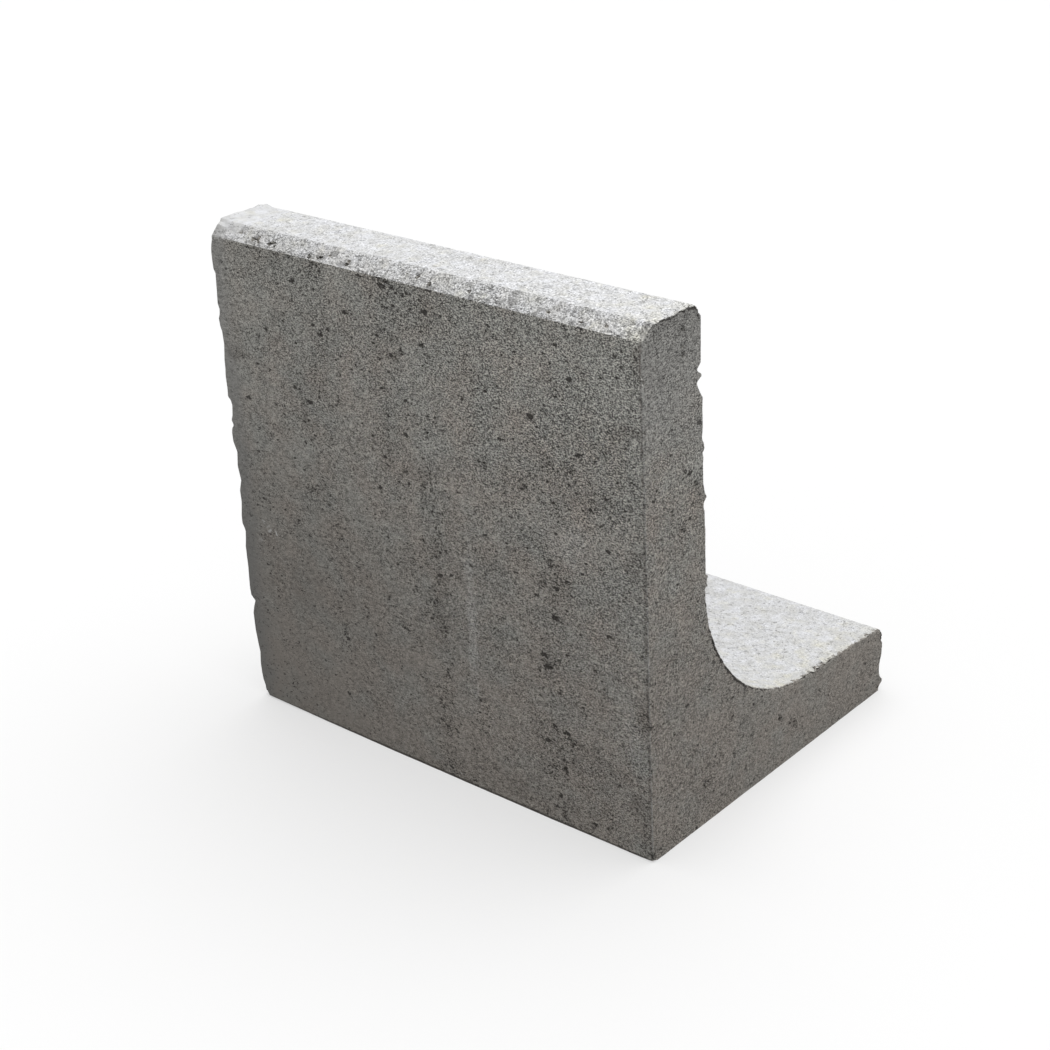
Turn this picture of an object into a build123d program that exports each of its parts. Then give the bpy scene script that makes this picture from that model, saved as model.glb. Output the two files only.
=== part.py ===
from build123d import *
import os

# An L-shaped retaining block, cast as one piece of concrete.
# X runs along the course of blocks, Y from the outer face to the toe, Z up.
# The origin is the middle of the footprint, on the ground. All lengths are in millimetres.

# Overall sizes
course_length = 400.0
block_height = 400.0
foot_reach = 300.0

# Upright wall: plumb outside, and leaning inside so that the mould draws off it
crown_thickness = 62.0
wall_taper = 8.0

# Outer top arris, cut back by a flat chamfer
chamfer_depth = 13.0
chamfer_drop = 9.0

# Foot: its top falls away from the wall, so that water drains to the back
root_height = 70.0
toe_height = 57.0

# Roundings of the section
crown_radius = 10.0
inner_corner_radius = 130.0
toe_radius = 9.0


def wall_thickness_at(height):
    """Thickness of the upright wall at a height above the ground."""
    return crown_thickness + wall_taper * (1 - height / block_height)


def section_corners():
    """Corners of the L in (y, z), each with the radius that rounds it.

    They run up the outer face, over the crown, down the inner face, out along the foot
    and back under it.
    """
    outer_face = -foot_reach / 2
    toe_face = foot_reach / 2
    return [
        ((outer_face, 0), 0),
        ((outer_face, block_height - chamfer_drop), 0),
        ((outer_face + chamfer_depth, block_height), 0),
        ((outer_face + crown_thickness, block_height), crown_radius),
        ((outer_face + wall_thickness_at(root_height), root_height), inner_corner_radius),
        ((toe_face, toe_height), toe_radius),
        ((toe_face, 0), 0),
    ]


def l_block():
    """The whole block: its section, carried along the course to both sides of the origin."""
    corners = section_corners()
    with BuildPart() as block:
        with BuildSketch(Plane.YZ):
            with BuildLine():
                FilletPolyline(
                    [point for point, radius in corners],
                    radius=[radius for point, radius in corners],
                    close=True,
                )
            make_face()
        extrude(amount=course_length / 2, both=True)
    return block.part


def main():
    os.makedirs("parts", exist_ok=True)
    export_step(l_block(), "parts/l_block.step")


if __name__ == "__main__":
    main()
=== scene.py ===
"""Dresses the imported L-shaped retaining block as the dry-pressed concrete that it is.

The block is one casting, so it is one piece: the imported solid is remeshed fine, its edges are
worn and chipped, the ragged fins that the mould leaves at its far end are raised, and its pits
are carved. Blender's data is in metres, and MM turns the millimetres in this script into metres.
"""
import math

import bpy
import numpy as np
from mathutils import Matrix, Vector
from mathutils.kdtree import KDTree


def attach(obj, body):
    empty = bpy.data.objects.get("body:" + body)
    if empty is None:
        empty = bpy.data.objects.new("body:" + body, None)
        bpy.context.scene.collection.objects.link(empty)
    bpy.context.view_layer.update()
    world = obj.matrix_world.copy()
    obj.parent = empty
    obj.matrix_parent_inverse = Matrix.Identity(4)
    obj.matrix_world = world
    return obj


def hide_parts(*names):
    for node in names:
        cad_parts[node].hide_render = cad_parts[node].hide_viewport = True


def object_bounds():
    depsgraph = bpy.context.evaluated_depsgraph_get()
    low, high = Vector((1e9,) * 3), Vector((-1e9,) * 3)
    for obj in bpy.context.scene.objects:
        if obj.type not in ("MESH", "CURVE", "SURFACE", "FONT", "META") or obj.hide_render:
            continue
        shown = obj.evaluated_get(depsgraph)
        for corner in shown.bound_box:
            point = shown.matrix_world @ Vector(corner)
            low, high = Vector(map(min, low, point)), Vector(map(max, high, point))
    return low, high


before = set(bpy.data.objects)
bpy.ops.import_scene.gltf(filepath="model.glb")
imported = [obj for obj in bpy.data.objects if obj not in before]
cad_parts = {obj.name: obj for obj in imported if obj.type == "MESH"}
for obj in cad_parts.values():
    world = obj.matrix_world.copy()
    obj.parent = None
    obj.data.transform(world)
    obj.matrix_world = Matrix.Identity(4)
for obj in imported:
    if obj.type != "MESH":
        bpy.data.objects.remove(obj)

bl_info = {
    "name": "L-Shaped Concrete Block",
    "version": (1, 0, 0),
    "blender": (4, 5, 0),
    "location": "3D View > Sidebar > Concrete Block",
    "description": "Casts an L-shaped retaining block in dry-pressed concrete and sets it in a studio",
    "category": "Object",
}

MM = 0.001
NODE = "l_block"
CAD_LOW, CAD_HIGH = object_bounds()

NEAR_END = CAD_HIGH.x
FAR_END = CAD_LOW.x
OUTER_FACE = CAD_LOW.y
TOE_FACE = CAD_HIGH.y
CROWN = CAD_HIGH.z
CHAMFER_RISE = 13 * MM
CHAMFER_RUN = 9 * MM
AXIS_X = np.array((1.0, 0.0, 0.0))
AXIS_Y = np.array((0.0, 1.0, 0.0))
AXIS_Z = np.array((0.0, 0.0, 1.0))

# Places on the block are millimetres along X, Y and Z, and the profiles along its arrises are
# (place along the arris, reach) in millimetres, read off.

# The front arris at the far end: how far each height stands in from the end of the box.
FAR_ARRIS = (
    (0, 9.5), (5, 7.7), (10, 5.5), (15, 3.7), (21, 3.1), (30, 2.7), (40, 3.6), (48, 2.4), (60, 1.1),
    (75, 0.8), (82, 2.8), (87, 4.8), (91, 0.5), (97, 0.0), (104, 0.2), (115, 0.8), (134, 0.5),
    (141, 1.7), (148, 2.6), (151, 1.6), (154, 0.0), (161, 0.0), (173, 1.8), (183, 1.4), (192, 4.2),
    (204, 2.0), (216, 3.5), (224, 0.2), (231, 0.0), (235, 0.8), (238, 2.9), (242, 1.3), (246, 2.8),
    (255, 4.0), (259, 2.7), (261, 0.1), (269, 0.5), (278, 0.0), (284, 0.8), (291, 0.8), (304, 2.6),
    (314, 1.9), (318, 0.6), (324, 0.0), (328, 1.5), (332, 2.0), (336, 0.6), (350, 1.4), (360, 2.0),
    (363, 0.3), (369, 0.1), (376, 0.0), (382, 0.2), (386, 1.4), (390, 1.0), (394, 1.9), (399, 0.2),
)
# The ear at the far end of the crown: its lift at each distance from the outer face.
EAR_LIFT = (
    (2, 0.0), (4, 1.2), (7, 2.9), (10, 1.5), (28, 1.5), (34, 0.6), (45, 0.9), (49, 1.5), (55, 1.2),
    (58, 2.4), (62, 2.2), (65, 0.0),
)
# How far the front arris of the base is worn up at each X.
BASE_ARRIS = (
    (-200, 1.8), (-120, 0.6), (-60, 0.0), (110, 0.0), (150, 0.5), (190, 0.7), (196, 0.9), (200, 1.6),
)
# The inner arris at the near end: how far each height stands out from the inner face.
NEAR_INNER_ARRIS = (
    (188, 1.0), (191, 2.4), (193, 0.6), (196, 1.0), (198, 2.6), (200, 0.8), (216, 0.8), (235, 0.9),
    (238, 0.4), (253, 0.3), (255, 0.6), (258, 4.0), (261, 2.0), (264, 1.2), (269, 0.1), (284, 0.0),
    (288, 0.8), (291, -0.4), (294, 2.0), (299, 1.0), (303, 0.2), (310, 1.3), (322, 1.0), (331, 1.5),
    (334, -0.6), (339, -3.4), (342, -4.6), (344, -4.2), (346.5, 0.9), (349, -0.6), (352, -4.2),
    (354, -1.6), (356, 0.6), (370, 1.0), (388, 1.2),
)
# The toe at the near end: how far each height stands out from the set-in toe face.
NEAR_TOE_ARRIS = (
    (0, -3.6), (2, -3.4), (3.8, -2.6), (5.6, 0.4), (7.0, 2.6), (8.2, 2.2), (10, 0.2), (12, -1.4),
    (15, -2.6), (18, -3.2), (23, -3.0), (27, -1.8), (30.5, -0.4), (35, 0.4), (40, 0.9), (45, 0.2),
    (48, 0.0),
)

# Pits large enough to be seen one by one: (X, Z, radius) on the outer face.
OUTER_PITS = (
    (-22, 374, 2.2), (-8, 383, 1.8), (-17, 332, 2.4), (9, 346, 1.8), (15, 341, 2.2), (17, 333, 1.8),
    (-114, 206, 2.2), (-91, 183, 1.8), (-88, 174, 2.0), (-97, 111, 2.4), (-68, 120, 2.4), (4, 184, 2.2),
    (12, 129, 2.2), (11, 88, 2.2), (121, 171, 2.0), (115, 212, 2.2), (62, 272, 2.4), (111, 129, 2.8),
    (108, 124, 2.0), (172, 139, 1.8), (96, 69, 2.0), (103, 65, 1.8), (126, 77, 2.4), (130, 73, 2.6),
    (111, 46, 2.0), (123, 47, 2.4), (127, 25, 1.8), (119, 9, 3.0), (104, 6, 2.0), (148, 10, 2.0),
    (-115, 276, 1.8), (-118, 262, 1.6), (-116, 205, 1.6), (-31, 352, 1.8), (-26, 368, 1.8),
    (-10, 346, 1.6), (-18, 347, 1.8), (0, 240, 1.6), (2, 228, 1.8), (-66, 112, 1.6), (-100, 42, 1.6),
    (140, 286, 1.8), (155, 262, 1.6), (-178, 300, 1.6), (-60, 296, 1.4), (-128, 340, 1.8),
)
# The same on the near end: (Y, Z, radius).
END_PITS = (
    (-108, 385, 2.6), (-107, 370, 2.8), (-95, 271, 2.4), (-111, 244, 2.6), (-109, 225, 2.4), (7, 41, 3.2),
    (27, 26, 2.8), (24, 33, 2.2), (-36, 55, 2.4), (-98, 64, 2.4), (-88, 32, 2.6), (-30, 44, 2.4),
    (-44, 60, 2.2), (-128, 330, 2.0), (-92, 318, 2.0), (-120, 150, 2.2), (-76, 128, 2.0), (60, 40, 2.0),
    (-60, 90, 2.2), (-52, 40, 2.0),
)
# Pits on the chamfer, some of them across its lower arris: (X, place up the slope from 0 to 1, radius).
CHAMFER_PITS = (
    (-172, 0.75, 2.8), (-167, 0.8, 2.2), (-156, 0.5, 2.2), (-152, 0.55, 2.4), (-158, 0.15, 2.0),
    (-150, 0.05, 2.2), (-146, 0.2, 2.0), (-137, 0.6, 2.4), (-134, 0.3, 2.0), (-128, 0.0, 2.4),
    (-118, 0.1, 2.0), (-97, 0.35, 2.2), (-93, 0.1, 2.4), (-89, 0.0, 2.4), (-86, 0.45, 2.0),
    (-80, 0.65, 2.0), (-74, 0.9, 2.2), (-60, 0.5, 2.0), (-46, 0.05, 2.0), (-30, 0.3, 2.0),
    (-26, 0.0, 2.4), (-20, 0.1, 2.2), (-8, 0.75, 2.2), (4, 0.7, 2.2), (18, 0.4, 1.8), (33, 0.1, 2.0),
    (52, 0.6, 1.8), (78, 0.35, 1.8), (96, 0.15, 2.0), (121, 0.5, 1.8), (150, 0.3, 2.0), (168, 0.6, 1.8),
)

# Upright bands of the outer face where the mix was too dry: middle along X, half width, lowest height
# and strength.
DRY_BANDS = (
    (-95, 16, 90, 0.5), (-22, 18, 260, 0.9), (10, 10, 0, 0.9), (50, 10, 0, 0.35), (68, 14, 260, 0.4),
    (120, 16, 0, 0.8),
)
# Pale scrapes on the outer face: middle along X, height, half length, half width, tilt in degrees, strength.
SCRAPES = (
    (-173.9, 162.6, 2.6, 1.2, -39, 0.45), (-169.5, 159.6, 3.2, 1.0, 38, 0.3),
    (-168, 156.4, 3.2, 1.3, 43, 0.6), (-160.9, 156.2, 2.4, 0.9, -68, 0.9),
    (-160.3, 154.8, 1.0, 1.0, 0, 0.9), (-179.5, 145.5, 2.8, 2.2, 0, 0.25),
)

# Stains of the outer face: middle (X, Z), half sizes along X and Z, and how dark; a minus sign is a
# pale one. Each reaches about STAIN_DEPTH millimetres round an arris.
STAIN_DEPTH = 8
STAINS = (
    ((195, 377), (4, 13), 0.75), ((192, 327), (10, 5), 0.7), ((178, 322), (4, 6), 0.5),
    ((191, 228), (9, 13), 0.7), ((195, 118), (4, 20), 0.5), ((189, 44), (12, 10), 0.75),
    ((195, 22), (6, 22), 0.5), ((197, 170), (3, 60), 0.3), ((150, 270), (34, 8), 0.28),
    ((-185, 300), (14, 8), 0.4), ((-115, 270), (4, 22), 0.35), ((10, 255), (12, 10), 0.3),
    ((10, 150), (7, 34), 0.3), ((-130, 120), (22, 30), 0.22), ((150, 60), (30, 16), 0.3),
    ((90, 20), (60, 12), 0.22), ((134, 230), (26, 18), -0.3), ((40, 140), (5, 75), -0.6),
    ((184, 96), (10, 22), -0.3),
)


def linear_colour(code):
    """Linear (r, g, b) of an sRGB hex code such as 8a8782."""
    channels = [int(code[place:place + 2], 16) / 255 for place in (0, 2, 4)]
    return tuple(c / 12.92 if c <= 0.04045 else ((c + 0.055) / 1.055) ** 2.4 for c in channels)


def colour_property(name, description, code):
    """A colour swatch whose default is an sRGB hex code."""
    return bpy.props.FloatVectorProperty(
        name=name, description=description, subtype="COLOR", size=3, min=0, max=1, default=linear_colour(code)
    )


def length_property(name, description, length):
    """A length, given in metres."""
    return bpy.props.FloatProperty(name=name, description=description, default=length, min=0, unit="LENGTH")


def share_property(name, description, share, most=1.0):
    """A plain number without a unit."""
    return bpy.props.FloatProperty(name=name, description=description, default=share, min=0, max=most)


def count_property(name, description, count):
    """A whole number."""
    return bpy.props.IntProperty(name=name, description=description, default=count, min=0)


def angle_property(name, description, angle):
    """An angle, given in radians."""
    return bpy.props.FloatProperty(name=name, description=description, default=angle, subtype="ANGLE")


class CastSizes(bpy.types.PropertyGroup):
    """What shapes the raw casting."""

    voxel: length_property("Voxel", "Spacing of the fine mesh that is carved", 1.0 * MM)
    quick_voxel: length_property("Quick voxel", "Spacing of the mesh while trying things", 2.0 * MM)
    triangles: count_property("Triangles", "Most triangles that the finished piece may have", 194000)
    far_set_in: length_property("Far end set in", "From the far face out to the tips of its fins", 2.0 * MM)
    crown_set_in: length_property("Crown set in", "From the crown up to the top of its ear", 1.5 * MM)
    toe_set_in: length_property("Toe set in", "From the toe face out to its highest burr", 1.5 * MM)
    fin_spread: length_property("Fin spread", "Width of the lip that carries the fins", 3.5 * MM)
    wear: share_property("Wear", "How far the arrises are worn back, from none to all of the rounding", 0.30)
    pits: count_property("Pits", "Number of scattered pits", 560)
    pit_radius: length_property("Pit radius", "Half the usual length of a scattered pit", 1.6 * MM)
    chips: count_property("Chips", "Number of small chips along the arrises", 230)
    chip_radius: length_property("Chip radius", "Usual radius of a chip", 1.7 * MM)
    ripple: length_property("Ripple", "Depth of the wide unevenness of the faces", 0.25 * MM)
    tooth: length_property("Tooth", "Depth of the fine unevenness of the faces", 0.14 * MM)
    seed: count_property("Seed", "Chooses where pits and chips fall", 7)


class ConcreteFinish(bpy.types.PropertyGroup):
    """Colours and grain of the dry-pressed concrete."""

    moulded: colour_property("Moulded face", "Concrete that slid against the mould's steel", "98928b")
    ashen: colour_property("Ashen face", "The same, greyer", "969590")
    laitance: colour_property("Mortar skin", "Smooth skin of fine mortar at the mould's joints", "8a8986")
    # The pale top colour is partly dry lime-pale skin and partly painted light from above; the scuffed and
    # yellowed top colours below carry the same painted light.
    lit_pale: colour_property("Bleached top", "Dry, lime-pale skin on what faces the sky", "dadbde")
    scuffed: colour_property("Scuffed top", "The same, rubbed greyer in patches", "c9c9c8")
    moss: colour_property("Yellowing", "Yellowish edge of the bleached tops", "d2cfbf")
    pore: colour_property("Pore", "Shaded bottom of a pore", "3c3936")
    sand: colour_property("Sand", "Bare quartz grain at the surface", "c6c6c4")
    # The damp stain colour is also painted as the burr's shadow beside the near front arris.
    damp: colour_property("Damp stain", "Damp or oily stain beside the arris", "57514c")
    # The lime colour is also painted as the highlight along the near front arris.
    lime: colour_property("Lime", "Pale lime scum and scratches", "c3c3c1")
    sand_size: length_property("Sand grain", "Usual size of a sand grain", 0.9 * MM)
    pore_spacing: length_property("Pore spacing", "Usual distance between open holes", 4.0 * MM)
    grain_depth: length_property("Grain depth", "Height of the sand grain in the bump", 0.5 * MM)
    contrast: share_property("Grain contrast", "How much paler or darker single grains are", 7.6, 12.0)
    roughness: share_property("Roughness", "Roughness of dry concrete", 0.92)


class StudioSizes(bpy.types.PropertyGroup):
    """Floor, light and camera."""

    floor_side: length_property("Floor side", "Side of the square floor", 14.0)
    floor_colour: colour_property("Floor", "Matt pale board as the eye sees it", "b0b0b0")
    floor_bounce: colour_property("Floor bounce", "The same for the light that it sends back", "bcbcbc")
    floor_glow: share_property("Floor glow", "How brightly the board shines to the eye", 0.5)
    softbox_strength: share_property("Softbox", "Strength of the large lamp overhead", 1.9, 100.0)
    softbox_angle: angle_property("Softbox angle", "How wide the lamp looks from the block", math.radians(70))
    softbox_lean: angle_property("Softbox lean", "Lean of the lamp towards the toe side", math.radians(12))
    room_strength: share_property("Room", "Strength of the even light from all around", 0.58, 10.0)
    camera_place: bpy.props.FloatVectorProperty(
        name="Camera place", description="Where the camera stands", subtype="TRANSLATION",
        default=(0.957049, -1.118844, 0.860333),
    )
    camera_azimuth: angle_property("Azimuth", "Turn of the view about the upright", 0.7266223)
    camera_elevation: angle_property("Elevation", "How far the camera looks down", 0.4496183)
    camera_roll: angle_property("Roll", "Tilt of the picture", -0.0509790)
    camera_lens: bpy.props.FloatProperty(
        name="Lens", description="Focal length on a 36 mm sensor", default=72.359, subtype="DISTANCE_CAMERA"
    )


def ramp(low, high, values):
    """0 below low, 1 above high, and a soft ramp between them. low may be the larger one."""
    share = np.clip((values - low) / (high - low), 0.0, 1.0)
    return share * share * (3.0 - 2.0 * share)


def lattice_values(cells, seed):
    """A repeatable random number from -1 to 1 for each whole-numbered cell."""
    mixed = cells @ np.array((374761393, 668265263, 2147483647)) + seed * 974634777
    mixed = (mixed ^ (mixed >> 13)) * 1274126177
    mixed = mixed ^ (mixed >> 16)
    return (mixed & 0xFFFFFF) / 0x7FFFFF - 1.0


def value_noise(points, size, seed):
    """Smooth noise from -1 to 1 at each point, with lumps of about that size."""
    grid = points / size
    cells = np.floor(grid).astype(np.int64)
    share = grid - cells
    share = share * share * (3.0 - 2.0 * share)
    total = np.zeros(len(points))
    for corner in np.ndindex(2, 2, 2):
        weight = np.prod(np.where(corner, share, 1.0 - share), axis=1)
        total += weight * lattice_values(cells + np.array(corner), seed)
    return total


def rough_noise(points, size, seed):
    """Noise with two finer layers, for broken edges."""
    return (
        0.58 * value_noise(points, size, seed)
        + 0.28 * value_noise(points, size / 2.1, seed + 1)
        + 0.14 * value_noise(points, size / 4.3, seed + 2)
    )


def block_distances(points):
    """Millimetres of each point from the near end, the far end, the outer face, the ground and the crown."""
    x, y, z = points.T
    return (NEAR_END - x) / MM, (x - FAR_END) / MM, (y - OUTER_FACE) / MM, z / MM, (CROWN - z) / MM


def along_profile(places, profile):
    """Reach in metres at each place in millimetres, from a profile in millimetres."""
    stations, reaches = np.array(profile, float).T
    return np.interp(places, stations, reaches) * MM


def modified(mesh, kind, **settings):
    """A new mesh: that one after one modifier."""
    carrier = bpy.data.objects.new("carrier", mesh)
    bpy.context.scene.collection.objects.link(carrier)
    modifier = carrier.modifiers.new(kind.title(), kind)
    for name, value in settings.items():
        setattr(modifier, name, value)
    depsgraph = bpy.context.evaluated_depsgraph_get()
    result = bpy.data.meshes.new_from_object(
        carrier.evaluated_get(depsgraph), preserve_all_data_layers=True, depsgraph=depsgraph
    )
    bpy.data.objects.remove(carrier)
    return result


def read_vectors(collection, name):
    """Vectors of a mesh's vertices as rows of an array."""
    values = np.empty(len(collection) * 3, np.float32)
    collection.foreach_get(name, values)
    return values.reshape(-1, 3).astype(float)


def write_points(mesh, points):
    """Puts the vertices of a mesh where the rows of points say."""
    mesh.vertices.foreach_set("co", points.astype(np.float32).ravel())
    mesh.update()


def write_attribute(mesh, name, values):
    """Stores one number for each vertex, for the material to read."""
    attribute = mesh.attributes.new(name, "FLOAT", "POINT")
    attribute.data.foreach_set("value", values.astype(np.float32))


def section_tree(points, voxel):
    """The block's outline at the middle of its length, as a tree of (0, Y, Z) points."""
    ring = points[np.abs(points[:, 0]) < 0.7 * voxel]
    tree = KDTree(len(ring))
    for index, point in enumerate(ring):
        tree.insert((0.0, point[1], point[2]), index)
    tree.balance()
    return tree


def rim_distances(points, chosen, tree):
    """Distance from the section's outline, and the outline's nearest point, for chosen points."""
    gaps = np.full(len(points), 1.0)
    nearest = np.zeros_like(points)
    for index in chosen:
        place, _, gap = tree.find((0.0, points[index, 1], points[index, 2]))
        gaps[index] = gap
        nearest[index] = place
    return gaps, nearest


def inner_arris(points):
    """1 beside the arris between the inner face and an end, 0 elsewhere."""
    _, _, across, height, below = block_distances(points)
    behind = ramp(50, 56, across) * ramp(82, 74, across)
    return behind * ramp(184, 192, height) * ramp(6, 11, below)


def toe_arris(points):
    """1 beside the upright arris between the toe face and the near end, 0 elsewhere."""
    near, _, _, height, _ = block_distances(points)
    from_toe = (TOE_FACE - points[:, 1]) / MM
    return ramp(9, 5, from_toe) * ramp(48, 42, height) * ramp(12, 8, near)


def outer_arris(points):
    """1 beside the upright arris between the outer face and the near end, 0 elsewhere."""
    near, _, across, _, below = block_distances(points)
    return ramp(8, 3, near) * ramp(20, 26, below) * ramp(6, 3, across)


def arris_wear(points, sizes):
    """How much of the full rounding each point takes: even wear, and crumbling in lumps."""
    near, far, across, height, below = block_distances(points)
    wear = sizes.wear + 0.30 * rough_noise(points, 16 * MM, 11) + 0.25 * rough_noise(points, 5 * MM, 12)
    near_end = ramp(8, 3, near)
    crown = ramp(16, 9, below)
    behind = ramp(60, 66, across) * ramp(20, 40, height)
    wear += near_end * np.maximum(crown, behind) * (0.12 + 0.45 * rough_noise(points, 7 * MM, 13))
    wear += 0.4 * near_end * crown * ramp(18, 11, across)
    far_top = ramp(26, 10, far) * ramp(24, 14, below)
    far_front = ramp(12, 5, far) * ramp(8, 3, across) * (1.0 - far_top)
    wear += 0.85 * far_front * (0.3 - wear) + 0.7 * far_top
    chamfer_foot = ramp(20, 17, below) * ramp(6, 3, across) * (1.0 - far_top)
    wear += chamfer_foot * (0.1 + 0.9 * rough_noise(points, 9 * MM, 14))
    base = ramp(8, 3, height)
    wear -= 0.45 * base
    kept = np.maximum.reduce((inner_arris(points), toe_arris(points), 0.8 * outer_arris(points), base))
    wear *= 1.0 - 0.85 * near_end * kept
    return np.clip(wear, 0.04, 1.3)


def set_in(points, sizes):
    """Draws the casting in from the far end, crown and toe, so that fins and ear end at the solid's box."""
    corner = np.array((NEAR_END, OUTER_FACE, 0.0))
    spans = np.array((NEAR_END - FAR_END, TOE_FACE - OUTER_FACE, CROWN))
    gaps = np.array((sizes.far_set_in, sizes.toe_set_in, sizes.crown_set_in))
    return corner + (points - corner) * (1.0 - gaps / spans)


def raise_fins(points, unworn, tree, sizes):
    """Ragged fins round the far end but for its base, where fine mortar crept between the mould's plates."""
    reach = 14 * MM
    set_in_face = FAR_END + sizes.far_set_in
    near_far_end = ramp(set_in_face + reach, set_in_face, points[:, 0])
    gaps, nearest = rim_distances(unworn, np.flatnonzero(near_far_end > 0), tree)
    _, _, across, height, below = block_distances(nearest)
    lip = ramp(sizes.fin_spread, 0.4 * MM, gaps) * near_far_end ** 3
    spread = 0.9 * MM * rough_noise(nearest, 11 * MM, 21) + 0.8 * MM * rough_noise(nearest, 3.5 * MM, 22)
    standing_in = np.clip(0.9 * MM + spread, 0.0, 3.2 * MM)
    standing_in += ramp(3, 0.5, height) * (sizes.far_set_in - standing_in)
    on_chamfer = ramp(13, 9.5, across) * ramp(20, 17, below)
    on_outer = np.maximum(ramp(5, 2, across), on_chamfer)
    standing_in *= 1.0 - 0.85 * ramp(13, 10, below)
    standing_in += on_outer * (along_profile(height, FAR_ARRIS) - standing_in)
    points[:, 0] += lip * (standing_in - sizes.far_set_in)


def lift_ear(points):
    """The ear: the crown curls up towards the far end, over a longer stretch at the front."""
    _, far, across, _, below = block_distances(points)
    reach = 20 - 8 * ramp(34, 48, across)
    far_tip = 1.0 - np.clip((far - 2) / reach, 0.0, 1.0)
    points[:, 2] += far_tip ** 2 * ramp(14, 9, below) * along_profile(across, EAR_LIFT)


def push_near_arrises(points, wall_line):
    """Burrs and notches of the arrises that stand against the light at the near end."""
    near, _, _, height, below = block_distances(points)
    burr_reach = ramp(5, 0.6, near)
    notch_reach = ramp(14, 1, near)
    inner_gap = np.abs(points[:, 1] - np.interp(points[:, 2], *wall_line)) / MM
    inner = ramp(5, 1.2, inner_gap) * ramp(184, 189, height) * ramp(8, 12, below)
    toe = ramp(5.5, 2.2, (TOE_FACE - points[:, 1]) / MM)
    for weight, profile in ((inner, NEAR_INNER_ARRIS), (toe, NEAR_TOE_ARRIS)):
        push = along_profile(height, profile)
        points[:, 1] += weight * push * np.where(push > 0, burr_reach, notch_reach)


def wear_base(points):
    """The front arris of the base, worn up most at its two corners."""
    _, _, across, height, _ = block_distances(points)
    low = ramp(9, 0, height) * ramp(6, 1, across)
    points[:, 2] += low * along_profile(points[:, 0] / MM, BASE_ARRIS)


def crumble_near_rim(points, unworn, normals, tree):
    """Tears grains out just below the pale tops at the near end. Gives how torn each point is."""
    near_end = ramp(0.5, 0.8, normals[:, 0]) * (unworn[:, 0] > NEAR_END - 4 * MM)
    gaps, nearest = rim_distances(unworn, np.flatnonzero(near_end > 0), tree)
    gaps /= MM
    _, _, across, height, below = block_distances(nearest)
    crown = ramp(14, 11, below) * ramp(9, 15, across)
    foot = ramp(69, 73, across) * ramp(30, 42, height)
    coarse = rough_noise(nearest, 9 * MM, 15)
    fine = rough_noise(points, 3.2 * MM, 16)
    thick = ramp(42, 50, across) * ramp(60, 57, across)
    middle = 1.9 + 1.1 * coarse + 0.7 * fine
    half = 1.0 + 1.1 * thick + 1.3 * fine + 0.6 * coarse
    crown_strip = crown * ramp(1.0, 0.5, np.abs(gaps - middle) / np.maximum(half, 0.1))
    steep = ramp(70, 100, height)
    width = 1.5 + 1.2 * steep + 1.8 * fine
    foot_strip = foot * (gaps < width) * np.clip(0.5 + 0.7 * steep + 1.2 * fine, 0.0, 1.0)
    torn = near_end * (crown_strip + foot_strip)
    points[:, 0] -= torn * 1.1 * MM
    return torn


class Carver:
    """Carves hollows into the points, which it keeps in order along X to find those near a hollow fast."""

    def __init__(self, points):
        self.points = points
        self.order = np.argsort(points[:, 0], kind="stable")
        self.along = points[self.order, 0].copy()
        self.depth = np.zeros(len(points))

    def carve(self, centre, inward, radius, ragged=0.45):
        """Pushes what lies in a ragged ball inwards, as far as the ball's other side."""
        first, last = np.searchsorted(self.along, (centre[0] - 1.5 * radius, centre[0] + 1.5 * radius))
        picked = self.order[first:last]
        offset = self.points[picked] - centre
        close = (offset ** 2).sum(axis=1) < (1.5 * radius) ** 2
        picked = picked[close]
        offset = offset[close]
        ball = radius * (1.0 + ragged * value_noise(self.points[picked], 0.9 * radius, 31))
        room = ball ** 2 - (offset ** 2).sum(axis=1)
        inside = room > 0
        along = offset[inside] @ inward
        push = np.sqrt(along ** 2 + room[inside]) - along
        picked = picked[inside]
        self.points[picked] += push[:, None] * inward
        self.depth[picked] += push


def pit_places(sizes):
    """The pits seen one by one: place, way into the concrete, radius."""
    places = [(np.array((x * MM, OUTER_FACE, z * MM)), AXIS_Y, radius * MM) for x, z, radius in OUTER_PITS]
    places += [(np.array((NEAR_END, y * MM, z * MM)), -AXIS_X, radius * MM) for y, z, radius in END_PITS]
    slope = (AXIS_Y * CHAMFER_RISE - AXIS_Z * CHAMFER_RUN) / math.hypot(CHAMFER_RISE, CHAMFER_RUN)
    foot = np.array((0.0, OUTER_FACE, CROWN - sizes.crown_set_in - CHAMFER_RISE))
    rise = AXIS_Y * CHAMFER_RUN + AXIS_Z * CHAMFER_RISE
    for x, share, radius in CHAMFER_PITS:
        places.append((foot + rise * share + AXIS_X * x * MM, slope, radius * MM))
    return places


def carve_crevice(carver, place, inward, radius, balls, random):
    """A short ragged crevice: small balls strewn along a line that lies in the face."""
    run = np.cross(inward, random.normal(0.0, 1.0, 3))
    run /= np.linalg.norm(run)
    for step in random.uniform(-1.1, 1.1, balls):
        shift = step * run + random.normal(0.0, 0.25, 3)
        shift -= (shift @ inward + 0.1) * inward
        carver.carve(place + radius * shift, inward, radius * random.uniform(0.4, 0.7))


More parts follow.
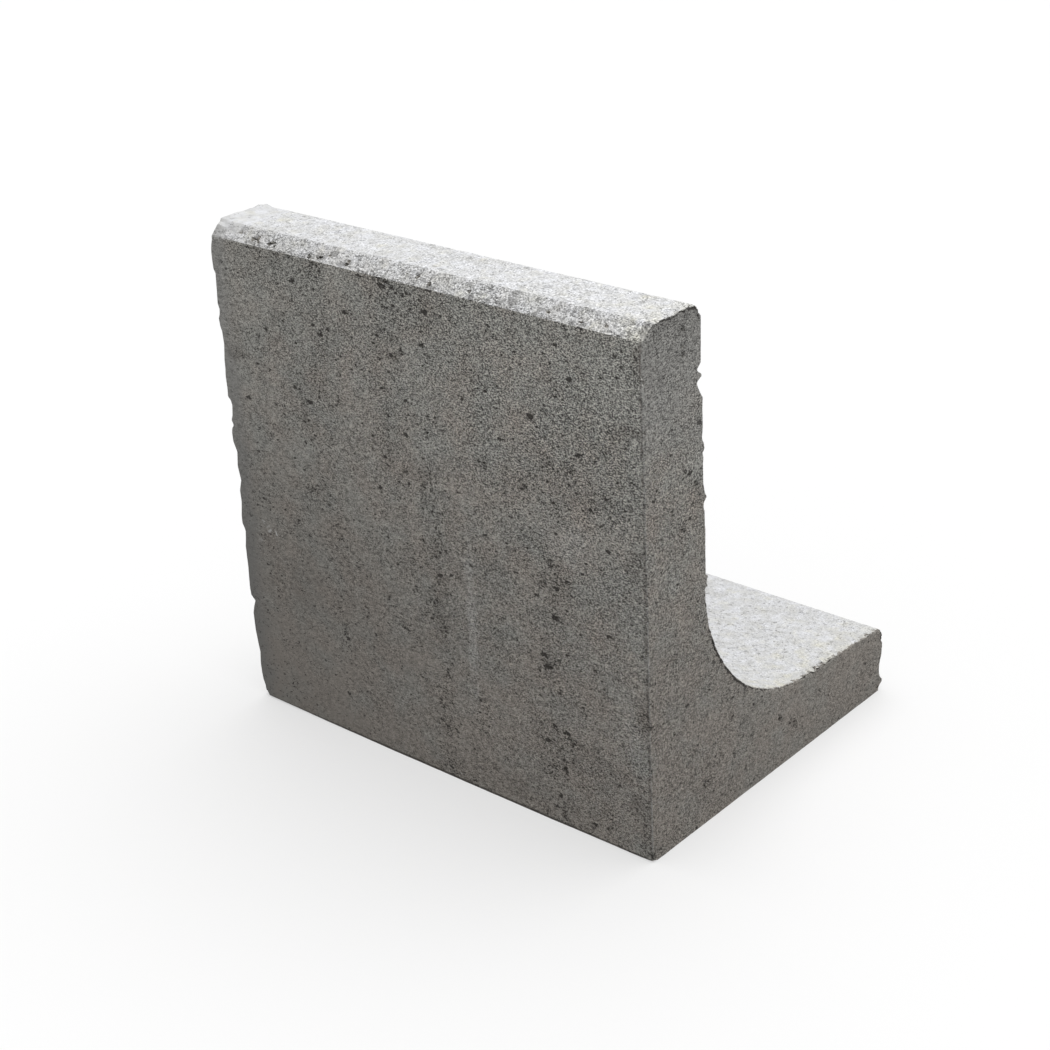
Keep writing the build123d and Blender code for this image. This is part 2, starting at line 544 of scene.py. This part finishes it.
def carve_pits(carver, normals, dry, sizes, random):
    """The pits seen one by one, then a random scatter that is denser where the mix was too dry."""
    points = carver.points
    for place, inward, radius in pit_places(sizes):
        carve_crevice(carver, place, inward, radius, 5, random)
    _, far, _, height, _ = block_distances(points)
    chance = (0.5 + dry) * (1.0 - ramp(0.4, 0.7, normals[:, 2]))
    chance *= ramp(2, 6, height) * ramp(3, 7, far)
    chance *= 1.0 - np.maximum(toe_arris(points), inner_arris(points))
    chance /= chance.sum()
    radii = sizes.pit_radius * np.exp(random.normal(0.0, 0.28, sizes.pits))
    for index, radius in zip(random.choice(len(points), sizes.pits, replace=False, p=chance), radii):
        carve_crevice(carver, points[index].copy(), -normals[index], radius, 2, random)


def dryness(points, normals, sizes):
    """How open the mix stayed at each point: in clumps, in bands of the outer face, and round the pits."""
    _, _, across, height, _ = block_distances(points)
    clumps = np.clip(0.35 + 1.1 * rough_noise(points, 15 * MM, 41), 0.0, None)
    outer = ramp(0.5, 0.9, -normals[:, 1]) * ramp(3, 0, across)
    along = points[:, 0] / MM + 8 * rough_noise(points, 50 * MM, 42)
    dry = clumps * ramp(-0.5, 0.5, rough_noise(points, 60 * MM, 43))
    for middle, half_width, lowest, strength in DRY_BANDS:
        band = strength * np.exp(-((along - middle) / half_width) ** 2)
        dry += outer * band * ramp(lowest - 45, lowest + 5, height) * (0.4 + 1.2 * clumps)
    for place, _, radius in pit_places(sizes):
        close = np.flatnonzero(np.abs(points[:, 0] - place[0]) < 6 * radius)
        reach = ((points[close] - place) ** 2).sum(axis=1)
        dry[close] += np.exp(-reach / (2.2 * radius) ** 2)
    return np.clip(dry, 0.0, 2.0)


def chip_arrises(carver, smoothed, sizes, random):
    """Small chips, strewn over what the full rounding would move most: the arrises."""
    points = carver.points
    near, far, _, height, _ = block_distances(points)
    inward = smoothed - points
    turn = np.sqrt((inward ** 2).sum(axis=1))
    chance = np.where(turn > 0.8 * MM, 1.0, 0.0)
    kept = np.maximum.reduce((inner_arris(points), toe_arris(points), 0.85 * outer_arris(points)))
    chance *= (0.5 + 1.5 * ramp(5, 1, near)) * (1.0 - kept)
    chance *= ramp(2, 6, height) * ramp(12, 16, far)
    chance /= chance.sum()
    radii = sizes.chip_radius * np.exp(random.normal(0.0, 0.35, sizes.chips))
    for index, radius in zip(random.choice(len(turn), sizes.chips, replace=False, p=chance), radii):
        direction = inward[index] / turn[index]
        carver.carve(points[index] - direction * 0.55 * radius, direction, radius)


def roughen(points, normals, sizes):
    """Slight unevenness, always inwards. The tops that no mould touched are coarser, the base is true."""
    tops = ramp(0.4, 0.8, normals[:, 2])
    ripple = sizes.ripple * (0.5 + 0.5 * rough_noise(points, 22 * MM, 51))
    tooth = sizes.tooth * (1.0 + 1.2 * tops) * (0.5 + 0.5 * rough_noise(points, 4.5 * MM, 52))
    free = ramp(-0.9, -0.7, normals[:, 2])
    return points - normals * ((ripple + tooth) * free)[:, None]


def skin_share(points):
    """Where fine mortar left a smooth skin at the mould's joints: the far strip, the ear, the near top."""
    near, far, _, _, below = block_distances(points)
    ragged = 7 * rough_noise(points, 24 * MM, 81)
    far_strip = ramp(26, 5, far + ragged)
    ear = ramp(34, 20, far + ragged) * ramp(12, 4, below)
    near_top = ramp(3, 1, near) * ramp(125, 30, below - 4 * ragged)
    return np.maximum.reduce((far_strip, ear, 0.9 * near_top))


def stain_depths(points):
    """How stained each point is. Each stain is an ellipsoid with a ragged edge."""
    warp = np.stack([rough_noise(points, 9 * MM, seed) for seed in (61, 64, 67)], axis=1)
    blotch = rough_noise(points, 6 * MM, 71)
    stains = np.zeros(len(points))
    for (x, z), (half_x, half_z), strength in STAINS:
        offset = (points / MM - (x, OUTER_FACE / MM, z)) / (half_x, STAIN_DEPTH, half_z) + 0.55 * warp
        reach = np.sqrt((offset ** 2).sum(axis=1))
        stains += strength * ramp(1.25, 0.45, reach) * (0.8 + 0.5 * blotch)
    return stains


def finished_mesh(source, sizes):
    """The rough casting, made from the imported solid's mesh."""
    voxel = sizes.voxel
    mesh = modified(source, "REMESH", mode="VOXEL", voxel_size=voxel, adaptivity=0.0)
    points = read_vectors(mesh.vertices, "co")
    normals = read_vectors(mesh.vertex_normals, "vector")
    rounds = int(48 * (sizes.voxel / voxel) ** 2)
    smoothed = read_vectors(modified(mesh, "SMOOTH", factor=0.5, iterations=rounds).vertices, "co")
    wear = arris_wear(points, sizes)
    rounded = points + (smoothed - points) * wear[:, None]
    unworn = set_in(points, sizes)
    tree = section_tree(unworn, voxel)
    wall_line = inner_wall_line(points, normals)
    points = set_in(rounded, sizes)
    smoothed = set_in(smoothed, sizes)
    dry = dryness(points, normals, sizes)
    raise_fins(points, unworn, tree, sizes)
    lift_ear(points)
    push_near_arrises(points, wall_line)
    wear_base(points)
    torn = crumble_near_rim(points, unworn, normals, tree)
    random = np.random.default_rng(sizes.seed)
    carver = Carver(points)
    chip_arrises(carver, smoothed, sizes, random)
    chipped = carver.depth.copy()
    carve_pits(carver, normals, dry, sizes, random)
    points = roughen(carver.points, normals, sizes)
    points = np.clip(points, np.array(CAD_LOW), np.array(CAD_HIGH))
    write_points(mesh, points)
    # The pits' depth and the torn strip are kept for the material, which paints them dark as the shade inside
    # the pits and under the rim.
    hollow = np.clip((carver.depth - chipped) / (1.2 * MM), 0.0, 1.0) + 1.6 * torn
    write_attribute(mesh, "hollow", hollow)
    write_attribute(mesh, "stain", stain_depths(points))
    write_attribute(mesh, "skin", skin_share(points))
    write_attribute(mesh, "dry", dry)
    triangles = sum(len(face.vertices) - 2 for face in mesh.polygons)
    mesh = modified(mesh, "DECIMATE", ratio=min(1.0, sizes.triangles / triangles))
    mesh.polygons.foreach_set("use_smooth", [True] * len(mesh.polygons))
    mesh.set_sharp_from_angle(angle=math.radians(38))
    return mesh


def inner_wall_line(points, normals):
    """The inner face's Y at each height, from the fine mesh at the middle of the block."""
    middle = (np.abs(points[:, 0]) < 1.2 * MM) & (normals[:, 1] > 0.9) & (points[:, 1] < OUTER_FACE + 80 * MM)
    line = points[middle]
    line = line[np.argsort(line[:, 2])]
    return line[:, 2], line[:, 1]


def add_node(tree, kind, inputs=(), settings=None):
    """Adds a shader node, sets its options, and links or sets its inputs. Gives its outputs.

    The inputs come as a row in the node's own order, or by name or number where some are left out.
    """
    node = tree.nodes.new("ShaderNode" + kind)
    for name, value in (settings or {}).items():
        setattr(node, name, value)
    for name, value in inputs.items() if isinstance(inputs, dict) else enumerate(inputs):
        if isinstance(value, bpy.types.NodeSocket):
            tree.links.new(value, node.inputs[name])
        else:
            node.inputs[name].default_value = value
    return node.outputs


def new_material(name):
    """An empty material and the tree of its nodes."""
    material = bpy.data.materials.new(name)
    material.use_nodes = True
    material.node_tree.nodes.clear()
    return material, material.node_tree


def dry_pressed_concrete(finish):
    """Grey concrete, pressed almost dry into a steel mould.

    The eye sees sand grain at every point, open pores painted dark with the shade inside them, streaks where
    the face slid along the mould, and pale dry skin on whatever faces the sky, painted paler as light from
    above.
    """
    material, tree = new_material("dry_pressed_concrete")

    def add(kind, inputs=(), settings=None):
        return add_node(tree, kind, inputs, settings)

    sums = {"operation": "MULTIPLY_ADD"}
    product = {"operation": "MULTIPLY"}
    difference = {"operation": "SUBTRACT"}
    share_of = {"operation": "MULTIPLY", "use_clamp": True}
    most = {"operation": "MAXIMUM"}
    rgb = {"data_type": "RGBA"}
    place = add("TexCoord")["Object"]
    x, y, z = add("SeparateXYZ", (place,))
    facing_x, facing_y, facing_z = add("SeparateXYZ", (add("NewGeometry")["True Normal"],))
    hollow, stain, skin, dry = (
        add("Attribute", (), {"attribute_name": name})["Fac"]
        for name in ("hollow", "stain", "skin", "dry")
    )
    front = add("MapRange", (facing_y, -0.4, -0.8))[0]
    # Noises, by the size of their lumps in millimetres and how many finer layers they have
    ragged, patches, bites, serrated, clumps, warmth, yellowed, mottle, specks = (
        add("TexNoise", {"Vector": place, "Scale": 1 / (size * MM), "Detail": layers})[0]
        for size, layers in (
            (3.5, 3), (34, 3), (9, 2), (3.2, 3), (6.5, 2), (26, 3), (12, 3), (8, 4), (1.0, 1),
        )
    )
    swirl = add("TexNoise", {"Vector": place, "Scale": 1 / (2.2 * MM), "Detail": 2.0})["Color"]
    swirl = add("VectorMath", (swirl, (0.5, 0.5, 0.5)), difference)[0]

    # How open the face is: sandiest up high and towards the near end, closed where mortar made a skin
    height = add("MapRange", (z, 0.0, CROWN, 0.05, 0.80))[0]
    along = add("MapRange", (x, FAR_END, NEAR_END, 0.03, 0.58))[0]
    patchy = add("MapRange", (patches, 0.3, 0.7, 0.75, 1.25))[0]
    cover = add("MapRange", (facing_z, 0.2, 0.5, -0.52, -0.85))[0]
    bare = add("Math", (skin, cover, 1.0), sums)[0]
    openness = add("Math", (height, height, along), sums)[0]
    openness = add("Math", (dry, 0.12, openness), sums)[0]
    toeward = (y, OUTER_FACE + 70 * MM, OUTER_FACE + 160 * MM, 0.87, 0.54)
    toeward = add("MapRange", toeward)[0]
    tight = add("MapRange", (facing_x, 0.4, 0.8, 1.0, toeward))[0]
    for share in (patchy, bare, tight):
        openness = add("Math", (openness, share), product)[0]

    # What faces the sky is painted pale, partly as dry lime-pale skin and partly as painted light from above,
    # but for the pits, and the chamfer less so as painted shade, down to a ragged line.
    # A noise averages one half, so the ragged lines below are moved on by half of what it adds.
    corner = add("MapRange", (y, OUTER_FACE + 18 * MM, OUTER_FACE + 10 * MM, 0.0, 0.36))[0]
    endward = add("Math", (facing_x, corner), difference)[0]
    endward = add("MapRange", (endward, 0.35, 0.6, 1.0, 0.0))[0]
    skyward = add("Math", (ragged, 0.5, facing_z), sums)[0]
    lit_pale = add("MapRange", (skyward, 0.44, 0.82))[0]
    front_slope = add("MapRange", (facing_y, -0.3, -0.75))[0]
    frontward = add("Math", (front_slope, -0.5, 1.0), sums)[0]
    greyed = add("Math", (skin, front_slope), product)[0]
    greyed = add("Math", (greyed, -0.4, 1.0), sums)[0]
    unpitted = add("MapRange", (hollow, 0.0, 0.5, 1.0, 0.0))[0]
    rise = add("Math", (bites, 8 * MM, z), sums)[0]
    rise = add("Math", (ragged, 10 * MM, rise), sums)[0]
    foot_line = CROWN - CHAMFER_RISE - 1.5 * MM + 9 * MM
    rise = add("MapRange", (rise, foot_line, foot_line + 1.5 * MM))[0]
    above_foot = add("Mix", {0: front, 2: 1.0, 3: rise})[0]
    serrated = add("Math", (serrated, 16 * MM, x), sums)[0]
    rim = NEAR_END - 1.5 * MM + 8 * MM
    serrated = add("MapRange", (serrated, rim - 0.5 * MM, rim + 0.3 * MM, 1.0, 0.0))[0]
    behind = add("MapRange", (y, OUTER_FACE + 62 * MM, OUTER_FACE + 66 * MM))[0]
    within_rim = add("Mix", {0: behind, 2: 1.0, 3: serrated})[0]
    for share in (frontward, endward, greyed, unpitted, above_foot, within_rim):
        lit_pale = add("Math", (lit_pale, share), product)[0]
    level = add("MapRange", (facing_z, 0.45, 0.95, 1.0, 0.24))[0]

    # Sand grain at its real size, dragged slantwise where the block slid up out of the mould
    drag = {"Vector": place, "Rotation": (0.0, math.radians(12), 0.0), "Scale": (0.62, 0.62, 1.0)}
    dragged = add("Mapping", drag)[0]
    fine = {"Vector": dragged, "Scale": 1 / finish.sand_size, "Detail": 2.0, "Roughness": 0.6}
    fine_grain = add("TexNoise", fine)[0]
    coarse = {"Vector": dragged, "Scale": 1 / (2.6 * finish.sand_size), "Detail": 2.0, "Roughness": 0.6}
    coarse_grain = add("TexNoise", coarse)[0]
    clumps = add("MapRange", (clumps, 0.35, 0.66, 0.84, 1.17))[0]
    coarse_grain = add("Math", (coarse_grain, 0.5), difference)[0]
    coarseness = add("MapRange", (openness, 0.2, 0.8, 0.75, 0.1))[0]
    grain = add("Math", (coarse_grain, coarseness, fine_grain), sums)[0]
    spread = (grain, 0.5, 1.5, 0.0, finish.contrast)
    grain = add("MapRange", spread, {"clamp": False})[0]
    for share in (openness, level, clumps):
        grain = add("Math", (grain, share), product)[0]

    # Open pores, where the sand is too coarse for the mortar: crevices and ragged holes
    gape = add("MapRange", (openness, 0.15, 1.1, 0.018, 0.055))[0]
    gape = add("Math", (dry, 0.035, gape), sums)[0]
    slope = add("MapRange", (facing_z, 0.3, 0.5, 0.0, 0.06))[0]
    gape = add("Math", (slope, front_slope, gape), sums)[0]
    field = {"Vector": dragged, "Scale": 1 / (1.9 * finish.sand_size), "Detail": 3.0, "Roughness": 0.7}
    field = add("TexNoise", field)[0]
    pores = add("Math", (field, gape), {"operation": "ADD"})[0]
    pores = add("MapRange", (pores, 0.66, 0.7, 0.0, 0.85))[0]
    hole_sizes = ((finish.pore_spacing, 2.6 * MM, 0.62), (1.8 * finish.pore_spacing, 4.5 * MM, 0.84))
    for spacing, fray, rarest in hole_sizes:
        frayed = add("VectorMath", (swirl, (fray, fray, fray), dragged), sums)[0]
        cells = add("TexVoronoi", {"Vector": frayed, "Scale": 1 / spacing})
        chance = add("SeparateColor", (cells["Color"],))[0]
        chance = add("Math", (gape, 4.0, chance), sums)[0]
        radius = add("MapRange", (chance, rarest, 1.3, 0.0, 0.34))[0]
        holes = add("Math", (radius, cells["Distance"]), difference)[0]
        edge = 0.3 * MM / spacing
        holes = add("MapRange", (holes, 0.0, edge, 0.0, 0.9))[0]
        pores = add("Math", (pores, holes), most)[0]
    broken = add("Math", (field, 3.0, hollow), sums)[0]
    broken = add("MapRange", (broken, 2.3, 2.7, 0.0, 0.85))[0]
    pitted = add("MapRange", (hollow, 0.08, 0.3))[0]
    broken = add("Math", (broken, pitted), product)[0]

    # The wide tones: warm low down, greyer in patches, up high and beside the near arris
    warmth = add("Math", (height, -0.42, warmth), sums)[0]
    rimward = add("MapRange", (x, NEAR_END - 45 * MM, NEAR_END))[0]
    cooled = add("Math", (rimward, front), product)[0]
    warmth = add("Math", (cooled, -0.25, warmth), sums)[0]
    warmth = add("MapRange", (warmth, 0.12, 0.5))[0]
    yellowed = add("Math", (rimward, 0.22, yellowed), sums)[0]
    yellowed = add("MapRange", (yellowed, 0.52, 0.78, 0.0, 0.75))[0]
    mottle = add("MapRange", (mottle, 0.35, 0.68))[0]
    gritty = add("Math", (grain, -0.4, 0.85), sums)[0]
    damp = add("Math", (stain, gritty), share_of)[0]
    lime = add("Math", (stain, -0.6), share_of)[0]
    specks = add("MapRange", (specks, 0.64, 0.72, 0.0, 0.75))[0]
    specks = add("Math", (specks, openness), product)[0]

    # Painted shade on the upright faces: darker low down, where less light reaches them, and the front also
    # darker towards the far end, while the pale tops have a painted shade of their own
    run = add("MapRange", (x, FAR_END, NEAR_END, -0.22, 0.17))[0]
    shade = (z, 90 * MM, 420 * MM, 0.9, 1.42)
    shade = add("MapRange", shade, {"interpolation_type": "SMOOTHSTEP"})[0]
    shade = add("Math", (run, front, shade), sums)[0]
    # The near end is painted paler below 320 mm and darker at its top, less so towards the toe: painted light
    # and shade by the way it faces.
    paler = add("MapRange", (z, 320 * MM, 390 * MM, 0.07, -0.14))[0]
    on_end = add("MapRange", (facing_x, 0.4, 0.8))[0]
    wallward = (y, OUTER_FACE + 70 * MM, OUTER_FACE + 160 * MM, 1.0, 0.2)
    wallward = add("MapRange", wallward)[0]
    paler = add("Math", (paler, wallward), product)[0]
    shade = add("Math", (on_end, paler, shade), sums)[0]
    # The tops' painted shade: brighter towards the near end, and darker low on the foot and fillet, where the
    # wall keeps light off them.
    top_shade = add("MapRange", (x, FAR_END, NEAR_END, 1.0, 1.11))[0]
    low_top_shade = add("MapRange", (z, 150 * MM, 360 * MM, 0.88, 1.01))[0]
    top_shade = add("Math", (top_shade, low_top_shade), product)[0]
    shade = add("Mix", {0: lit_pale, 2: shade, 3: top_shade})[0]

    # The near front arris: a painted shadow beside it, cast by a burr on the arris, and a painted highlight
    # along the arris itself here and there
    beside = add("MapRange", (x, NEAR_END - 3.6 * MM, NEAR_END - 1.8 * MM))[0]
    streak = {"Vector": place, "Scale": 1 / (14 * MM), "Detail": 4.0, "Roughness": 0.7}
    streak = add("TexNoise", streak)[0]
    broken_up = add("MapRange", (streak, 0.4, 0.62, 0.2, 0.7))[0]
    for share in (front, broken_up):
        beside = add("Math", (beside, share), product)[0]
    at_end = add("MapRange", (x, NEAR_END - 1.3 * MM, NEAR_END - 0.7 * MM))[0]
    at_front = add("MapRange", (y, OUTER_FACE + 1.3 * MM, OUTER_FACE + 0.7 * MM))[0]
    patch = add("MapRange", (streak, 0.45, 0.6, 1.0, 0.4))[0]
    arris_highlight = add("MapRange", (ragged, 0.3, 0.5, 0.0, 0.4))[0]
    for share in (at_end, at_front, patch):
        arris_highlight = add("Math", (arris_highlight, share), product)[0]

    # A painted contact shadow where the front stands on the ground, and the scrapes
    contact_shadow = add("Math", (ragged, -1.5 * MM, z), sums)[0]
    contact_shadow = add("MapRange", (contact_shadow, 2.0 * MM, 0.9 * MM, 0.0, 0.75))[0]
    contact_shadow = add("Math", (contact_shadow, front), product)[0]
    unsteady = add("VectorMath", (swirl, (2 * MM, 0.0, 2 * MM), place), sums)[0]
    scraped = 0.0
    for along_mm, height_mm, half_length, half_width, tilt, strength in SCRAPES:
        stroke = {
            "Vector": unsteady,
            "Location": (along_mm * MM, OUTER_FACE, height_mm * MM),
            "Rotation": (0.0, math.radians(-tilt), 0.0),
            "Scale": (half_length * MM, 10 * MM, half_width * MM),
        }
        stroke = add("Mapping", stroke, {"vector_type": "TEXTURE"})[0]
        stroke = add("VectorMath", (stroke,), {"operation": "LENGTH"})["Value"]
        stroke = add("MapRange", (stroke, 1.1, 0.5, 0.0, strength))[0]
        scraped = add("Math", (stroke, scraped), most)[0]

    # Colour, from the wide tones down to the single grains
    lit_pale_colour, moss, scuffed, ashen, moulded, laitance, dark_stain_and_shadow, lime_and_highlight, sandy, deep = (
        (*colour, 1.0)
        for colour in (
            finish.lit_pale, finish.moss, finish.scuffed, finish.ashen, finish.moulded,
            finish.laitance, finish.damp, finish.lime, finish.sand, finish.pore,
        )
    )
    # The tops' colour: partly dry pale skin, partly painted light from above.
    white = add("Mix", {0: yellowed, 6: lit_pale_colour, 7: moss}, rgb)[2]
    white = add("Mix", {0: mottle, 6: white, 7: scuffed}, rgb)[2]
    tone = add("Mix", {0: warmth, 6: ashen, 7: moulded}, rgb)[2]
    for share, over in ((skin, laitance), (lit_pale, white), (damp, dark_stain_and_shadow), (beside, dark_stain_and_shadow), (lime, lime_and_highlight)):
        tone = add("Mix", {0: share, 6: tone, 7: over}, rgb)[2]
    factor = add("Math", (grain, 1.0), {"operation": "ADD"})[0]
    factor = add("Clamp", (factor, 0.3, 2.2))[0]
    factor = add("Math", (factor, shade), product)[0]
    tone = add("VectorMath", {0: tone, "Scale": factor}, {"operation": "SCALE"})[0]
    for share, over in ((specks, sandy), (arris_highlight, lime_and_highlight), (scraped, lime_and_highlight)):
        tone = add("Mix", {0: share, 6: tone, 7: over}, rgb)[2]
    # The pores, the pits, the torn strip below the near rim and the contact shadow are painted with the
    # pore's shaded colour.
    softened = add("MapRange", (lit_pale, 0.0, 1.0, 1.0, 0.3))[0]
    darkness = add("Math", (pores, softened), product)[0]
    darkness = add("Math", (darkness, bare), product)[0]
    for share in (broken, contact_shadow):
        darkness = add("Math", (darkness, share), most)[0]
    tone = add("Mix", {0: darkness, 6: tone, 7: deep}, rgb)[2]

    relief = add("Math", (pores, -1.2, grain), sums)[0]
    bump = add("Bump", {"Strength": 1.0, "Distance": finish.grain_depth, "Height": relief})[0]
    surface = {"Base Color": tone, "Normal": bump, "Roughness": finish.roughness, "Specular IOR Level": 0.25}
    add("OutputMaterial", {"Surface": add("BsdfPrincipled", surface)[0]})
    return material


def seen_by_eye(tree):
    """1 for what is seen directly, in a mirror or through glass, 0 for light on its way to the block."""
    ray = add_node(tree, "LightPath")
    most = {"operation": "MAXIMUM"}
    either = add_node(tree, "Math", (ray["Is Camera Ray"], ray["Is Glossy Ray"]), most)[0]
    return add_node(tree, "Math", (either, ray["Is Transmission Ray"]), most)[0]


def matt_board(studio):
    """Plain painted board: pale and even to the eye, while the block gets less light back from it."""
    material, tree = new_material("matt_painted_board")
    seen = seen_by_eye(tree)
    colours = {0: seen, 6: (*studio.floor_bounce, 1), 7: (*studio.floor_colour, 1)}
    colour = add_node(tree, "Mix", colours, {"data_type": "RGBA"})[2]
    glow = add_node(tree, "Math", (seen, studio.floor_glow), {"operation": "MULTIPLY"})[0]
    white = (1.0, 1.0, 1.0, 1.0)
    board = {"Base Color": colour, "Roughness": 1.0, "Specular IOR Level": 0.0, "Emission Color": white}
    board["Emission Strength"] = glow
    shader = add_node(tree, "BsdfPrincipled", board)
    add_node(tree, "OutputMaterial", {"Surface": shader[0]})
    return material


def room_world(studio):
    """White to the eye, and an even, weaker light on the block."""
    world = bpy.data.worlds.new("studio_room")
    world.use_nodes = True
    tree = world.node_tree
    tree.nodes.clear()
    strengths = {0: seen_by_eye(tree), 2: studio.room_strength, 3: 1.0}
    strength = add_node(tree, "Mix", strengths)[0]
    light = add_node(tree, "Background", {"Color": (1.0, 1.0, 1.0, 1.0), "Strength": strength})
    add_node(tree, "OutputWorld", {"Surface": light[0]})
    return world


def camera_matrix(studio):
    """Where the camera stands and how it is turned and rolled."""
    azimuth, elevation, roll = studio.camera_azimuth, studio.camera_elevation, studio.camera_roll
    back = Vector(
        (
            math.sin(azimuth) * math.cos(elevation),
            -math.cos(azimuth) * math.cos(elevation),
            math.sin(elevation),
        )
    )
    level_right = Vector((math.cos(azimuth), math.sin(azimuth), 0.0))
    level_up = back.cross(level_right)
    right = math.cos(roll) * level_right + math.sin(roll) * level_up
    up = math.cos(roll) * level_up - math.sin(roll) * level_right
    turn = Matrix((right, up, back)).transposed().to_4x4()
    return Matrix.Translation(studio.camera_place) @ turn


class BLOCK_OT_cast(bpy.types.Operator):
    """Cast the block: a fine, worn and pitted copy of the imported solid, in dry-pressed concrete"""

    bl_idname = "concrete_block.cast"
    bl_label = "Cast Block"
    bl_options = {"REGISTER", "UNDO"}

    def execute(self, context):
        mesh = finished_mesh(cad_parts[NODE].data, context.scene.cast_sizes)
        mesh.name = "cast_block"
        mesh.materials.clear()
        mesh.materials.append(dry_pressed_concrete(context.scene.concrete_finish))
        block = bpy.data.objects.new("cast_block", mesh)
        context.scene.collection.objects.link(block)
        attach(block, "root")
        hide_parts(NODE)
        return {"FINISHED"}


class BLOCK_OT_stage(bpy.types.Operator):
    """Set the stage: a pale floor, a large soft lamp, an even room light and the camera"""

    bl_idname = "concrete_block.stage"
    bl_label = "Set Stage"
    bl_options = {"REGISTER", "UNDO"}

    def execute(self, context):
        scene = context.scene
        studio = scene.studio_sizes
        half = studio.floor_side / 2
        mesh = bpy.data.meshes.new("floor")
        corners = [(-half, -half, 0), (half, -half, 0), (half, half, 0), (-half, half, 0)]
        mesh.from_pydata(corners, [], [(0, 1, 2, 3)])
        mesh.materials.append(matt_board(studio))
        floor = bpy.data.objects.new("floor", mesh)
        scene.collection.objects.link(floor)

        lamp = bpy.data.lights.new("softbox", "SUN")
        lamp.energy = studio.softbox_strength
        lamp.angle = studio.softbox_angle
        softbox = bpy.data.objects.new("softbox", lamp)
        softbox.rotation_euler = (-studio.softbox_lean, 0.0, 0.0)
        scene.collection.objects.link(softbox)
        scene.world = room_world(studio)

        lens = bpy.data.cameras.new("camera")
        lens.lens = studio.camera_lens
        lens.clip_start = 0.01
        lens.clip_end = 100.0
        camera = bpy.data.objects.new("camera", lens)
        camera.matrix_world = camera_matrix(studio)
        scene.collection.objects.link(camera)
        scene.camera = camera
        scene.view_settings.view_transform = "Standard"
        return {"FINISHED"}


class BLOCK_PT_panel(bpy.types.Panel):
    """Buttons and sizes of the concrete block"""

    bl_idname = "BLOCK_PT_panel"
    bl_label = "Concrete Block"
    bl_space_type = "VIEW_3D"
    bl_region_type = "UI"
    bl_category = "Concrete Block"

    def draw(self, context):
        scene = context.scene
        for operator, groups in (
            ("concrete_block.cast", (scene.cast_sizes, scene.concrete_finish)),
            ("concrete_block.stage", (scene.studio_sizes,)),
        ):
            box = self.layout.box()
            box.operator(operator)
            for group in groups:
                for name in group.__annotations__:
                    box.prop(group, name)


CLASSES = (CastSizes, ConcreteFinish, StudioSizes, BLOCK_OT_cast, BLOCK_OT_stage, BLOCK_PT_panel)


def register():
    for each in CLASSES:
        bpy.utils.register_class(each)
    bpy.types.Scene.cast_sizes = bpy.props.PointerProperty(type=CastSizes)
    bpy.types.Scene.concrete_finish = bpy.props.PointerProperty(type=ConcreteFinish)
    bpy.types.Scene.studio_sizes = bpy.props.PointerProperty(type=StudioSizes)


def unregister():
    del bpy.types.Scene.studio_sizes
    del bpy.types.Scene.concrete_finish
    del bpy.types.Scene.cast_sizes
    for each in reversed(CLASSES):
        bpy.utils.unregister_class(each)


def main():
    register()
    bpy.ops.concrete_block.cast()
    bpy.ops.concrete_block.stage()


if __name__ == "__main__":
    main()
